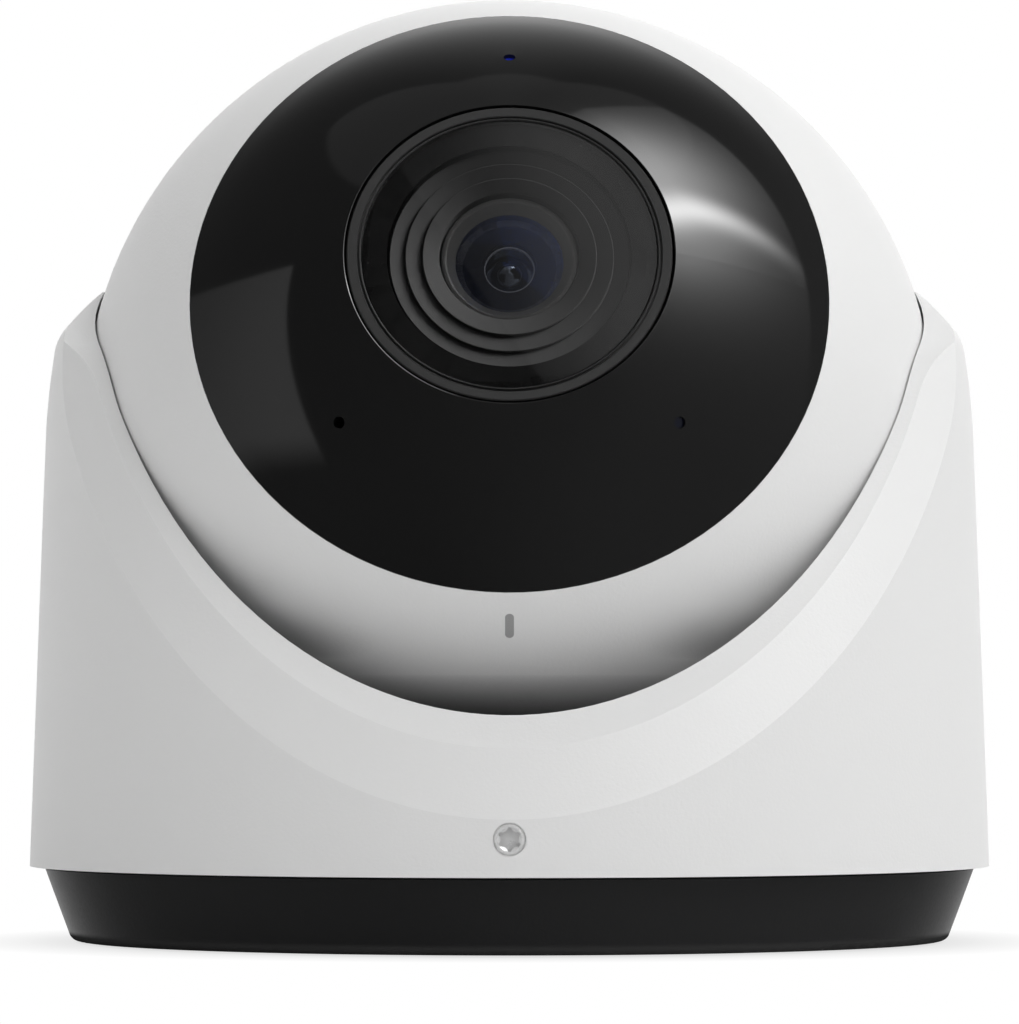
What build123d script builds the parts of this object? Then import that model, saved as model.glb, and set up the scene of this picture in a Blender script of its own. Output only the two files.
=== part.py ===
from build123d import *
import math
import os

# Turret security camera: a foot, a turning cover and a lens ball held in the cover.
# Millimetres, +Z up, the front faces -Y, the origin is the middle of the foot's underside.
# Ball pieces are drawn about the ball's centre with the lens along +Z, then set in place.

# Ball
ball_radius = 53.4
ball_lift = 10.8
lens_elevation = 22.8
shell_wall = 2.6
split_depth = 9.3
ball_gap = 0.3

# Cover
rim_wall = 4.3
cover_wall = 2.6
cover_draft = 2.05
rim_slope = 52.04
rim_front_height = 28.32
rim_thickness = 5.0
rim_face_inset = 2.7
bevel_slope = 50.7
bevel_front_height = 16.1
lip_height = 17.0
lip_land = 0.2
waist_rise = 2.7
upper_lean = 8.2
upper_round = 90.0
shoulder_slope = 47.5
shoulder_round = 6.0
corner_height = 7.4
corner_round = 20.0
side_slope = 24.2
lip_thickness = 10.0

# Foot
foot_height = 9.0
foot_reveal = 1.9
foot_lean = 20.5
foot_round = 1.2
foot_floor = 3.0
foot_wall = 3.0
turn_gap = 0.3
spigot_gap = 1.3
spigot_wall = 3.4
bearing_inset = 5.65
bearing_wall = 3.0
bearing_height = 8.0
running_gap = 0.05
bolt_circle = 83.3
bolt_hole = 4.5
bolt_pad = 10.0
bolt_pad_rise = 1.5
bolt_count = 4
gasket_inset = 5.7
gasket_width = 4.0
gasket_thickness = 1.2
seal_wire = 1.0

# Cable gland in the foot
gland_bore = 6.2
gland_neck = 18.0
gland_flange = 24.0
gland_lip = 1.2

# Ball cup that turns with the cover
cup_gap = 0.8
cup_wall = 2.2
cup_mouth = 28.0
flange_share = 0.75
flange_thickness = 2.5
flange_width = 8.5
skirt_wall = 2.5
glide_thickness = 1.7
glide_width = 3.0
lug_width = 7.0
lug_count = 3
boss_radius = 3.9
boss_height = 8.0
seat_gap = 0.3
seat_height = 3.2
seat_land = 1.0

# Screws
lock_rise = 4.8
lock_radius = 1.9
lock_ring = 0.08
lock_ring_depth = 0.4
lock_edge = 0.25
lock_sink = 0.1
lock_groove_depth = 1.4
lobe_count = 6
lobe_core = 1.08
lobe_reach = 1.43
lobe_flank = 0.75
lobe_depth = 1.0
socket_mouth = 0.3
screw_radius = 1.4
screw_head_radius = 2.7
screw_head_height = 2.0
screw_length = 9.0
screw_slack = 0.2

# Faceplate and its seal
faceplate_radius = 38.6
faceplate_wall = 2.0
faceplate_gap = 0.06
face_rim = 2.4
face_gasket = 0.4
face_gasket_inset = 0.3
ledge_wall = 1.8
ledge_width = 2.2
pinhole_radius = 0.72
pinhole_angle = 32.4
pinhole_turn = 135.0
nib_recess = 0.5
nib_gap = 0.03

# Lens opening
bezel_radius = 19.45
bezel_width = 1.7
bezel_recess = 0.1
bezel_groove = 0.3
bezel_flange = 3.0
bezel_depth = 5.2
bezel_ledge = 1.4
bezel_foot = 1.1
bezel_foot_height = 0.6
bezel_lip = 0.2
bezel_line = 0.25
bezel_line_depth = 0.4
edge_break = 0.12
window_gap = 0.15
window_sink = 0.2
window_thickness = 0.6
window_seal = 0.25
window_border = 3.1
baffle_floor = 3.3
baffle_gap = 0.2
baffle_radii = (14.4, 12.5, 10.45)
baffle_depths = (1.55, 1.25, 0.95)
barrel_radius = 8.2
barrel_recess = 1.8
barrel_mouth = 7.6
glass_radius = 6.46
glass_recess = 3.0
glass_crown = 0.55
glass_edge = 1.3
hollow_curve = 6.2
hollow_radius = 3.6
barrel_thread = 8.0
iris_radius = 5.6
iris_hole = 2.9
iris_thickness = 0.4
iris_drop = 0.4
middle_curve = 2.6
middle_radius = 2.3
middle_edge = 0.8
middle_rim = 0.8
middle_gap = 0.1
rear_glass_radius = 4.6
rear_glass_thickness = 3.0
barrel_back_bore = 4.0
barrel_tail_bore = 3.2
barrel_tail = 1.5

# Chassis, lens mount and filter changer
chassis_depth = 35.6
chassis_thickness = 2.0
chassis_gap = 4.0
chassis_hole = 13.0
mount_length = 34.0
mount_width = 28.0
mount_height = 10.0
mount_tube_wall = 3.0
mount_tube_height = 16.0
mount_floor = 4.0
light_bore = 6.0
slider_length = 22.0
slider_width = 16.0
slider_thickness = 2.6
slider_gap = 0.3
filter_pitch = 10.0
filter_side = 8.4
filter_thickness = 1.0
filter_frame = 0.6
filter_window = 7.0
coil_length = 12.0
coil_width = 6.0
coil_height = 5.0

# Columns and posts inside the ball
column_radius = 3.2
column_inset = 6.2
column_count = 4
post_radius = 3.0
post_inset = 8.3
post_count = 4
column_room = 0.6
shell_screw_reach = 14.0

# Boards
board_thickness = 1.6
sensor_board_side = 27.0
sensor_length = 12.0
sensor_width = 9.5
sensor_height = 1.6
spacer_radius = 1.4
spacer_place = 10.9
spacer_height = 2.0
main_board_room = 3.5
main_board_drop = 12.4
standoff_radius = 2.5
standoff_place = 31.0
standoff_count = 4
chip_side = 15.0
chip_height = 1.6
pad_thickness = 1.0
sink_side = 40.0
sink_base = 3.0
sink_leg = 5.0
fin_count = 8
fin_thickness = 1.6
fin_height = 11.0
header_length = 12.0
header_width = 6.0
header_height = 6.0
header_gap = 4.0
ir_board_gap = 3.8
ir_board_hole = 15.0
ir_board_inset = 3.4
ir_post_radius = 2.2
ir_post_place = 27.0
ir_post_count = 3
led_place = 25.0
led_radius = 2.0
led_height = 1.6
led_turns = (35.0, 70.0, 105.0, 165.0)
boot_radius = 2.6
mic_radius = 1.7
mic_height = 1.1
chip_led_side = 2.0
chip_led_height = 0.8
pipe_radius = 1.5

# Harness swivel in the back of the ball
swivel_radius = 8.0
swivel_bore = 4.5
swivel_flange = 10.0
swivel_flange_gap = 0.3
swivel_flange_thickness = 1.2
swivel_sink = 0.3
swivel_boss = 13.0
swivel_boss_height = 5.0
swivel_nut_radius = 11.5
swivel_nut_height = 2.4
swivel_tail = 1.0
swivel_play = 0.1

# Worked out from the sizes above
draft = math.tan(math.radians(cover_draft))
rim_rise = math.tan(math.radians(rim_slope))
ball_height = ball_lift + ball_radius
shell_inner = ball_radius - shell_wall
bore_radius = ball_radius + ball_gap
cover_bottom = foot_height + turn_gap
cover_radius = bore_radius + rim_wall + draft * (ball_height - cover_bottom)
foot_top_radius = cover_radius - foot_reveal
foot_radius = foot_top_radius - foot_height * math.tan(math.radians(foot_lean))
bolt_radius = bolt_circle / 2
bearing_radius = bolt_radius - bolt_pad / 2 - bearing_inset
gasket_radius = foot_radius - gasket_inset
lip_top = ball_height + lip_height
lip_radius = math.sqrt(bore_radius**2 - lip_height**2) + lip_land
lock_height = foot_height + lock_rise
far = 4 * ball_radius


def wall_radius(height):
    """Outer radius of the tapered cover wall at a height."""
    return cover_radius - draft * (height - cover_bottom)


spigot_radius = wall_radius(rim_front_height) - cover_wall - turn_gap
spigot_top = rim_front_height - rim_thickness - rim_rise * (spigot_radius - bore_radius) - spigot_gap
seal_radius = spigot_radius + seal_wire / 2
flange_height = ball_height - flange_share * ball_radius
boss_place = spigot_radius - spigot_wall - turn_gap - screw_head_radius
bezel_front = math.sqrt(ball_radius**2 - bezel_radius**2) - bezel_recess
bezel_inner = bezel_radius - bezel_width
faceplate_inner = ball_radius - faceplate_wall
face_seat = math.sqrt(ball_radius**2 - faceplate_radius**2) - face_rim
ledge_top = face_seat - face_gasket
chassis_front = bezel_front - chassis_depth
chassis_back = chassis_front - chassis_thickness
mount_top = chassis_front + mount_height
tube_top = mount_top + mount_tube_height
main_board_front = chassis_back - main_board_drop
main_board_back = main_board_front - board_thickness
sensor_board_front = chassis_back - spacer_height
ir_board_radius = faceplate_radius - ledge_width - ir_board_inset
ir_board_front = math.sqrt(faceplate_inner**2 - ir_board_radius**2) - ir_board_gap
ir_board_height = ir_board_front - board_thickness
column_place = math.sqrt(shell_inner**2 - split_depth**2) - column_inset
main_board_radius = column_place - column_radius - main_board_room
header_place = sink_side / 2 + header_width / 2 + header_gap
post_place = math.sqrt(shell_inner**2 - chassis_front**2) - post_inset + post_radius
pin_place = faceplate_inner * math.sin(math.radians(pinhole_angle))
slider_low = chassis_front + mount_floor
swivel_seat = -math.sqrt(ball_radius**2 - swivel_flange**2) + swivel_flange_thickness
swivel_boss_top = swivel_seat + swivel_boss_height
iris_low = bezel_front - glass_recess - glass_edge - iris_drop - iris_thickness
middle_sag = middle_curve - math.sqrt(middle_curve**2 - middle_radius**2)
middle_top = iris_low - middle_gap - middle_sag
middle_low = middle_top - middle_edge


def band(inner, outer, low, high):
    """Rectangle of a turned section, between two radii and two heights."""
    middle = Pos((inner + outer) / 2, (low + high) / 2)
    return middle * Rectangle(outer - inner, high - low)


def rind(outer, inner, low, high):
    """Section of a hollow sphere between two heights, about the origin."""
    return (Circle(outer) - Circle(inner)) & band(0, outer, low, high)


def spin(section):
    """Turn a radius and height section once round the Z axis."""
    return revolve(Plane.XZ * section, Axis.Z)


def eased(section, radius, height, size):
    """Take the sharp corner at one radius and height off a turned section."""
    corner = section.vertices().sort_by_distance((radius, height))[0]
    return chamfer(corner, size)


def rod(radius, low, high):
    """Upright cylinder between two heights."""
    return Pos(0, 0, (low + high) / 2) * Cylinder(radius, high - low)


def block(length, width, low, high):
    """Upright box between two heights, centred on Z."""
    return Pos(0, 0, (low + high) / 2) * Box(length, width, high - low)


def around(place, count, piece, start=0.0):
    """Copies of a piece, evenly round the Z axis."""
    return [spot * piece for spot in PolarLocations(place, count, start)]


def group(pieces):
    """Separate solids that share one node."""
    return Compound([solid for piece in pieces for solid in piece.solids()])


def above(slope, front_radius, front_height):
    """Plane that rises towards the back through one front point, and the half space over it."""
    lean = math.radians(slope)
    origin = (0, -front_radius, front_height)
    plane = Plane(origin, x_dir=(1, 0, 0), z_dir=(0, -math.sin(lean), math.cos(lean)))
    return plane, plane * Pos(0, 0, far) * Box(2 * far, 2 * far, 2 * far)


# Foot: a tapered black dish with a spigot for the cover and a ring for the cup

def foot():
    outline = Polyline(
        (0, 0),
        (foot_radius, 0),
        (foot_top_radius, foot_height),
        (spigot_radius, foot_height),
        (spigot_radius, spigot_top),
        (spigot_radius - spigot_wall, spigot_top),
        (spigot_radius - spigot_wall, foot_floor),
        (0, foot_floor),
        close=True,
    )
    section = make_face(outline)
    toe = section.vertices().sort_by_distance((foot_radius, 0))[0]
    section = fillet(toe, foot_round)
    section += band(bearing_radius - bearing_wall, bearing_radius, 0, foot_floor + bearing_height)
    section -= band(0, gland_neck / 2, 0, foot_floor)
    section -= band(0, gland_flange / 2, 0, gland_lip)
    seal_half = seal_wire / 2
    section -= band(seal_radius - seal_half, seal_radius + seal_half, foot_height - seal_wire, foot_height)
    groove_half = lock_radius + turn_gap
    groove_deep = spigot_radius - lock_groove_depth
    section -= band(groove_deep, spigot_radius, lock_height - groove_half, lock_height + groove_half)
    dish = spin(section)
    pad_top = foot_floor + bolt_pad_rise
    for pad in around(bolt_radius, bolt_count, rod(bolt_pad / 2, 0, pad_top)):
        dish += pad
    for hole in around(bolt_radius, bolt_count, rod(bolt_hole / 2, 0, pad_top)):
        dish -= hole
    return dish - foot_gasket()


def foot_gasket():
    half = gasket_width / 2
    return spin(band(gasket_radius - half, gasket_radius + half, 0, gasket_thickness))


def cable_gland():
    section = band(gland_bore / 2, gland_flange / 2, 0, gland_lip)
    section += band(gland_bore / 2, gland_neck / 2, gland_lip, foot_floor)
    section += band(gland_bore / 2, gland_flange / 2, foot_floor, foot_floor + gland_lip)
    return spin(section)


def cover_seal():
    return spin(Pos(seal_radius, foot_height - seal_wire / 2) * Circle(seal_wire / 2))


def glide_ring():
    inner = bearing_radius + running_gap
    return spin(band(inner, inner + glide_width, foot_floor, foot_floor + glide_thickness))


# Cover: a drafted cup with a sloping rim cut, a long outer bevel and a lip over the ball

def wall_cone(inset, low, high):
    """Solid cone that follows the cover wall, drawn in by an inset."""
    height = high - low
    cone = Cone(wall_radius(low) - inset, wall_radius(high) - inset, height)
    return Pos(0, 0, low + height / 2) * cone


def bevelled_body():
    """Outer form of the cover, with the bevel between the wall and the rim face."""
    run = 1 / math.tan(math.radians(shoulder_slope))
    lean = math.tan(math.radians(upper_lean))
    waist_height = ball_height + waist_rise
    waist = (wall_radius(waist_height), waist_height)
    shoulder_rise = (lip_radius + run * (lip_top - waist_height) - wall_radius(waist_height)) / (run - lean)
    shoulder = (wall_radius(waist_height) - lean * shoulder_rise, waist_height + shoulder_rise)
    outline = Polyline(
        (0, cover_bottom),
        (cover_radius, cover_bottom),
        waist,
        shoulder,
        (lip_radius, lip_top),
        (0, lip_top),
        close=True,
    )
    section = make_face(outline)
    section = fillet(section.vertices().sort_by_distance(shoulder)[0], shoulder_round)
    section = fillet(section.vertices().sort_by_distance(waist)[0], upper_round)
    body = spin(section)
    rim_plane, _ = above(rim_slope, bore_radius, rim_front_height)
    bevel_plane, over_bevel = above(bevel_slope, wall_radius(bevel_front_height), bevel_front_height)
    lower = section_face(wall_cone(0, 0, far), bevel_plane)
    upper = section_face(wall_cone(rim_face_inset, 0, far), rim_plane)
    core = loft([lower, upper], ruled=True)
    return (body - over_bevel) + (body & core)


def section_face(solid, plane):
    """Face that a plane cuts from a solid."""
    return section(solid, section_by=plane).faces()[0]


def cover():
    shell = bevelled_body()
    _, over_rim = above(rim_slope, bore_radius, rim_front_height)
    ball_space = Pos(0, 0, ball_height) * Sphere(bore_radius)
    bore = rod(bore_radius, 0, ball_height)
    relief = wall_cone(cover_wall, cover_bottom, lip_top - lip_thickness)
    relief -= Pos(0, 0, -rim_thickness) * over_rim
    shell -= ball_space + bore + relief
    shell -= mouth_cut()
    boss_top = flange_height + boss_height
    boss_web = cover_radius - boss_place
    boss = rod(boss_radius, flange_height, boss_top)
    boss += Pos(boss_web / 2, 0, 0) * block(boss_web, 2 * boss_radius, flange_height, boss_top)
    pilot = rod(screw_radius, flange_height, boss_top - screw_head_height / 2)
    inside = wall_cone(cover_wall / 2, cover_bottom, boss_top)
    for post in around(boss_place, lug_count, boss, 90):
        shell += post & inside
    for hole in around(boss_place, lug_count, pilot, 90):
        shell -= hole
    return shell - lock_hole()


def mouth_cut():
    """Side cut of the opening: up the rim slope, then back along the top of the sides."""
    back = math.tan(math.radians(side_slope))
    rim_drop = ball_height - rim_front_height
    corner_y = (corner_height + rim_drop) / rim_rise - bore_radius
    front_z = -rim_drop - rim_rise * (far - bore_radius)
    back_z = corner_height + back * (0 - corner_y + bore_radius)
    outline = Polyline(
        (-far, front_z),
        (corner_y, corner_height),
        (bore_radius, back_z),
        (bore_radius, far),
        (-far, far),
        close=True,
    )
    side = make_face(outline)
    turn = side.vertices().sort_by_distance((corner_y, corner_height))[0]
    side = fillet(turn, corner_round)
    return Pos(0, 0, ball_height) * extrude(Plane.YZ * side, far, both=True)


def lock_hole():
    """Threaded hole for the lock screw, with a thin open ring round its outer end."""
    face = wall_radius(lock_height)
    mouth = rod(lock_radius + lock_ring, face - lock_ring_depth, face + cover_wall)
    thread = rod(lock_radius, face - 2 * cover_wall, face)
    return Pos(0, 0, lock_height) * Rot(90, 0, 0) * (mouth + thread)


def lock_screw():
    face = wall_radius(lock_height) - lock_sink
    tip = spigot_radius - lock_groove_depth + turn_gap
    stem = spin(eased(band(0, lock_radius, tip, face), lock_radius, face, lock_edge))
    flanks = [spot * Circle(lobe_flank) for spot in PolarLocations(lobe_core + lobe_flank, lobe_count)]
    star = Circle(lobe_reach) - flanks
    stem -= Pos(0, 0, face - lobe_depth) * extrude(star, lobe_depth)
    stem -= Pos(0, 0, face - socket_mouth / 2) * Cone(lobe_core, lobe_reach, socket_mouth)
    return Pos(0, 0, lock_height) * Rot(90, 0, 0) * stem


# Cup: carries the ball, turns on the foot and is screwed up into the cover

def ball_cup():
    cup_inner = ball_radius + cup_gap
    cup_outer = cup_inner + cup_wall
    bowl = Pos(0, ball_height) * rind(cup_outer, cup_inner, -cup_outer, flange_height - ball_height)
    bowl -= band(0, cup_mouth / 2, 0, ball_height)
    rim_inner = math.sqrt(cup_inner**2 - (ball_height - flange_height) ** 2)
    bowl += band(rim_inner, rim_inner + flange_width, flange_height - flange_thickness, flange_height)
    skirt_inner = bearing_radius + running_gap
    skirt_top = ball_height - math.sqrt(cup_outer**2 - (skirt_inner + skirt_wall) ** 2)
    bowl += band(skirt_inner, skirt_inner + skirt_wall, foot_floor + glide_thickness, skirt_top)
    cup = spin(bowl - Pos(0, ball_height) * Circle(cup_inner))
    lug_low = flange_height - flange_thickness
    inner_end = rim_inner + flange_width / 2
    lug_span = boss_place - inner_end
    lug = block(lug_span, lug_width, lug_low, flange_height)
    for arm in around(inner_end + lug_span / 2, lug_count, lug, 90):
        cup += arm
    for end in around(boss_place, lug_count, rod(lug_width / 2, lug_low, flange_height), 90):
        cup += end
    for hole in around(boss_place, lug_count, rod(screw_radius, lug_low, flange_height), 90):
        cup -= hole
    return cup


def seat_ring():
    seat_sphere = ball_radius + seat_gap
    top = flange_height + seat_height
    outer = math.sqrt(seat_sphere**2 - (ball_height - top) ** 2) + seat_land
    return spin(band(0, outer, flange_height, top) - Pos(0, ball_height) * Circle(seat_sphere))


def pan_screw(low):
    """Screw with its head under a face, pointing up."""
    return rod(screw_radius, low, low + screw_length) + rod(screw_head_radius, low - screw_head_height, low)


def cup_screws():
    return group(around(boss_place, lug_count, pan_screw(flange_height - flange_thickness), 90))


# Ball shells

def columns(place, count, start, radius, low, high):
    """Columns trimmed by the middle of the shell wall, so that they root in it."""
    trim = Sphere(ball_radius - shell_wall / 2)
    return [column & trim for column in around(place, count, rod(radius, low, high), start)]


def front_shell():
    opening = faceplate_radius + faceplate_gap
    skin = rind(ball_radius, shell_inner, -split_depth, ledge_top + face_rim + face_gasket)
    ledge = band(faceplate_radius - ledge_width, ball_radius, ledge_top - ledge_wall, ledge_top)
    mouth = band(0, opening, ledge_top, ball_radius)
    shell = spin(skin + (ledge & Circle(ball_radius - shell_wall / 2)) - mouth)
    quarter = 180 / column_count
    for column in columns(column_place, column_count, quarter, column_radius, -split_depth, ball_radius):
        shell += column
    for post in columns(post_place, post_count, 0, post_radius, chassis_front, ball_radius):
        shell += post
    shell -= spin(mouth)
    thread = rod(screw_radius, -split_depth, shell_screw_reach - split_depth)
    for hole in around(column_place, column_count, thread, quarter):
        shell -= hole
    for hole in around(post_place, post_count, rod(screw_radius, chassis_front, chassis_front + screw_length)):
        shell -= hole
    return shell


def shell_head_seat():
    """Height of the seat under the heads of the shell screws."""
    return -split_depth - shell_screw_reach


def rear_shell():
    skin = rind(ball_radius, shell_inner, -ball_radius, -split_depth)
    boss = band(0, swivel_boss, -ball_radius, swivel_boss_top) & Circle(ball_radius - shell_wall / 2)
    skin += boss
    skin -= band(0, swivel_radius + running_gap, -ball_radius, 0)
    skin -= band(0, swivel_flange + swivel_flange_gap, -ball_radius, swivel_seat)
    groove = math.sqrt((ball_radius - shell_wall / 2) ** 2 - split_depth**2)
    skin -= band(groove - seal_wire / 2, groove + seal_wire / 2, -split_depth - seal_wire, -split_depth)
    shell = spin(skin)
    quarter = 180 / column_count
    for column in columns(column_place, column_count, quarter, column_radius, -ball_radius, -split_depth):
        shell += column
    bore = rod(screw_radius + screw_slack, -ball_radius, -split_depth)
    bore += rod(screw_head_radius + screw_slack, -ball_radius, shell_head_seat())
    for hole in around(column_place, column_count, bore, quarter):
        shell -= hole
    return shell


def shell_seal():
    groove = math.sqrt((ball_radius - shell_wall / 2) ** 2 - split_depth**2)
    return spin(band(groove - seal_wire / 2, groove + seal_wire / 2, -split_depth - seal_wire, -split_depth))


def shell_screws():
    seat = shell_head_seat()
    tip = screw_length - split_depth
    screw = rod(screw_radius, seat, tip) + rod(screw_head_radius, seat - screw_head_height, seat)
    return group(around(column_place, column_count, screw, 180 / column_count))


# Faceplate: a glossy cap flush with the ball, with the lens opening and three pinholes

def pin_axis(turn):
    """Frame whose Z axis leaves the ball through a pinhole."""
    return Rot(0, 0, -turn) * Rot(-pinhole_angle, 0, 0)


def beside(turn, place):
    """Spot on a flat board behind a pinhole or a lamp."""
    angle = math.radians(turn)
    return Pos(place * math.sin(angle), place * math.cos(angle), 0)


pin_turns = (0.0, -pinhole_turn, pinhole_turn)


def faceplate():
    opening = bezel_radius + bezel_groove
    skin = rind(ball_radius, faceplate_inner, face_seat, ball_radius)
    rim = band(faceplate_radius - ledge_width, faceplate_radius, face_seat, ball_radius) & Circle(ball_radius)
    cap = spin((skin + rim) & band(opening, faceplate_radius, face_seat, ball_radius))
    for turn in pin_turns:
        cap -= pin_axis(turn) * rod(pinhole_radius, faceplate_inner - faceplate_wall, ball_radius + faceplate_wall)
    return cap


def faceplate_gasket():
    inner = faceplate_radius - ledge_width + face_gasket_inset
    return spin(band(inner, faceplate_radius - faceplate_gap, ledge_top, face_seat))


# Lens opening: bezel, window, stepped baffle and lens barrel

def lens_bezel():
    low = bezel_front - bezel_depth
    seat = bezel_front - window_sink - window_thickness - window_seal
    body = band(bezel_inner - bezel_ledge, bezel_radius + bezel_flange, low, bezel_front) & Circle(faceplate_inner)
    ring = body + band(bezel_inner - bezel_ledge, bezel_radius, low, bezel_front)
    ring -= band(0, bezel_inner, seat, bezel_front)
    ring += band(bezel_inner - bezel_ledge - bezel_foot, bezel_inner, low - bezel_foot_height, low)
    line = bezel_inner + bezel_lip
    ring -= band(line, line + bezel_line, bezel_front - bezel_line_depth, bezel_front)
    for corner in (bezel_inner, line + bezel_line, bezel_radius):
        ring = eased(ring, corner, bezel_front, edge_break)
    return spin(ring)


def lens_window():
    top = bezel_front - window_sink
    return spin(band(0, bezel_inner - window_gap, top - window_thickness, top))


def window_gasket():
    top = bezel_front - window_sink - window_thickness
    return spin(band(bezel_inner - window_border, bezel_inner - window_gap, top - window_seal, top))


def lens_baffle():
    low = bezel_front - bezel_depth
    plate = band(barrel_radius + baffle_gap, bezel_inner - bezel_ledge, low, bezel_front - baffle_floor)
    for radius, depth in zip(baffle_radii, baffle_depths):
        plate += band(barrel_radius + baffle_gap, radius, low, bezel_front - depth)
    for radius, depth in zip(baffle_radii, baffle_depths):
        plate = eased(plate, radius, bezel_front - depth, edge_break)
    return spin(plate)


def lens_barrel():
    front = bezel_front - barrel_recess
    glass_top = bezel_front - glass_recess
    glass_low = glass_top - glass_edge
    tail = mount_top + barrel_tail
    body = band(0, barrel_radius, tube_top, front) + band(0, barrel_thread, tail, tube_top)
    mouth = make_face(
        Polyline((0, glass_top), (glass_radius, glass_top), (barrel_mouth, front), (0, front), close=True)
    )
    body -= mouth + band(0, glass_radius, glass_low, glass_top)
    body -= band(0, iris_radius, iris_low, glass_low)
    body -= band(0, barrel_back_bore, middle_low, iris_low)
    body -= band(0, barrel_tail_bore, tail, middle_low)
    body -= band(0, rear_glass_radius, tail, tail + rear_glass_thickness)
    for corner in (barrel_radius, barrel_mouth):
        body = eased(body, corner, front, edge_break)
    return spin(body)


def front_lens():
    top = bezel_front - glass_recess
    crown = (glass_radius**2 + glass_crown**2) / (2 * glass_crown)
    cap = Pos(0, top + glass_crown - crown) * Circle(crown)
    glass = band(0, glass_radius, top - glass_edge, top + glass_crown) & cap
    below = top - glass_edge
    hollow = Pos(0, below - math.sqrt(hollow_curve**2 - hollow_radius**2)) * Circle(hollow_curve)
    return spin(glass - (hollow & band(0, hollow_radius, below, top)))


def lens_iris():
    top = bezel_front - glass_recess - glass_edge - iris_drop
    return spin(band(iris_hole, iris_radius, top - iris_thickness, top))


def iris_ring():
    top = bezel_front - glass_recess - glass_edge
    return spin(band(iris_hole + iris_drop, iris_radius, top - iris_drop, top))


def middle_lens():
    front = Pos(0, middle_top + middle_sag - middle_curve) * Circle(middle_curve)
    back = Pos(0, middle_low - middle_sag + middle_curve) * Circle(middle_curve)
    section = front & band(0, middle_radius, middle_low, middle_top + middle_sag)
    section += back & band(0, middle_radius, middle_low - middle_sag, middle_top)
    section += band(0, barrel_back_bore, middle_low, middle_top)
    section += band(barrel_back_bore - middle_rim, barrel_back_bore, middle_top, iris_low)
    return spin(section)


def rear_lens():
    tail = mount_top + barrel_tail
    return spin(band(0, rear_glass_radius, tail, tail + rear_glass_thickness))


# Chassis, lens mount and filter changer

def chassis():
    radius = math.sqrt(shell_inner**2 - chassis_back**2) - chassis_gap
    plate = rod(radius, chassis_back, chassis_front) - rod(chassis_hole, chassis_back, chassis_front)
    quarter = 180 / column_count
    room = rod(column_radius + column_room, chassis_back, chassis_front)
    for notch in around(column_place, column_count, room, quarter):
        plate -= notch
    for hole in around(post_place, post_count, rod(screw_radius, chassis_back, chassis_front)):
        plate -= hole
    return plate


def chassis_screws():
    return group(around(post_place, post_count, pan_screw(chassis_back)))


def lens_mount():
    body = block(mount_length, mount_width, chassis_front, mount_top)
    body += rod(barrel_thread + mount_tube_wall, mount_top, tube_top)
    body -= rod(barrel_thread, mount_top, tube_top)
    body -= rod(light_bore, chassis_front, mount_top)
    slot_width = slider_width + 2 * slider_gap
    slot_top = slider_low + slider_thickness + slider_gap
    body -= block(mount_length, slot_width, slider_low, slot_top)
    return body


def slider_spot():
    """Rest place of the slider: its first filter is on the lens axis."""
    return Pos(filter_pitch / 2, 0, 0)


def filter_places():
    return [Pos(-filter_pitch / 2, 0, 0), Pos(filter_pitch / 2, 0, 0)]


def filter_slider():
    top = slider_low + slider_thickness
    tray = block(slider_length, slider_width, slider_low, top)
    for place in filter_places():
        tray -= place * block(filter_side, filter_side, top - filter_thickness, top)
        tray -= place * block(filter_window, filter_window, slider_low, top)
    return slider_spot() * tray


def filter_glass(place):
    top = slider_low + slider_thickness
    return slider_spot() * place * block(filter_side, filter_side, top - filter_thickness, top)


def filter_coil():
    edge = mount_width / 2 + coil_width / 2
    return Pos(0, edge, 0) * block(coil_length, coil_width, chassis_front, chassis_front + coil_height)


# Boards and what they carry

def image_sensor():
    return block(sensor_length, sensor_width, sensor_board_front, sensor_board_front + sensor_height)


def sensor_board():
    return block(sensor_board_side, sensor_board_side, sensor_board_front - board_thickness, sensor_board_front)


def sensor_spacers():
    spacer = rod(spacer_radius, sensor_board_front, chassis_back)
    return group([spot * spacer for spot in GridLocations(2 * spacer_place, 2 * spacer_place, 2, 2)])


def main_board():
    return rod(main_board_radius, main_board_back, main_board_front)


def board_standoffs():
    pillar = rod(standoff_radius, main_board_front, chassis_back)
    return group(around(standoff_place, standoff_count, pillar, 180 / standoff_count))


def processor():
    return block(chip_side, chip_side, main_board_back - chip_height, main_board_back)


def thermal_pad():
    top = main_board_back - chip_height
    return block(chip_side, chip_side, top - pad_thickness, top)


def heat_sink():
    top = main_board_back - chip_height - pad_thickness
    sink = block(sink_side, sink_side, top - sink_base, top)
    pitch = (sink_side - fin_thickness) / (fin_count - 1)
    fin = block(fin_thickness, sink_side, top - sink_base - fin_height, top - sink_base)
    for spot in GridLocations(pitch, 0, fin_count, 1):
        sink += spot * fin
    leg = block(sink_leg, sink_leg, top, main_board_back)
    reach = sink_side - sink_leg
    for spot in GridLocations(reach, reach, 2, 2):
        sink += spot * leg
    return sink


def harness_header():
    return Pos(0, -header_place, 0) * block(
        header_length, header_width, main_board_back - header_height, main_board_back
    )


def lamp_board():
    return spin(band(ir_board_hole, ir_board_radius, ir_board_height, ir_board_front))


def lamp_posts():
    return group(around(ir_post_place, ir_post_count, rod(ir_post_radius, chassis_front, ir_board_height), 90))


def infrared_lamps():
    dome = rod(led_radius, ir_board_front, ir_board_front + led_height)
    dome += Pos(0, 0, ir_board_front + led_height) * Sphere(led_radius)
    dome -= block(far, far, ir_board_front - far, ir_board_front)
    turns = [side * turn for turn in led_turns for side in (1, -1)]
    return group([beside(turn, led_place) * dome for turn in turns])


def microphone():
    return beside(pin_turns[1], pin_place) * rod(mic_radius, ir_board_front, ir_board_front + mic_height)


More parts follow.
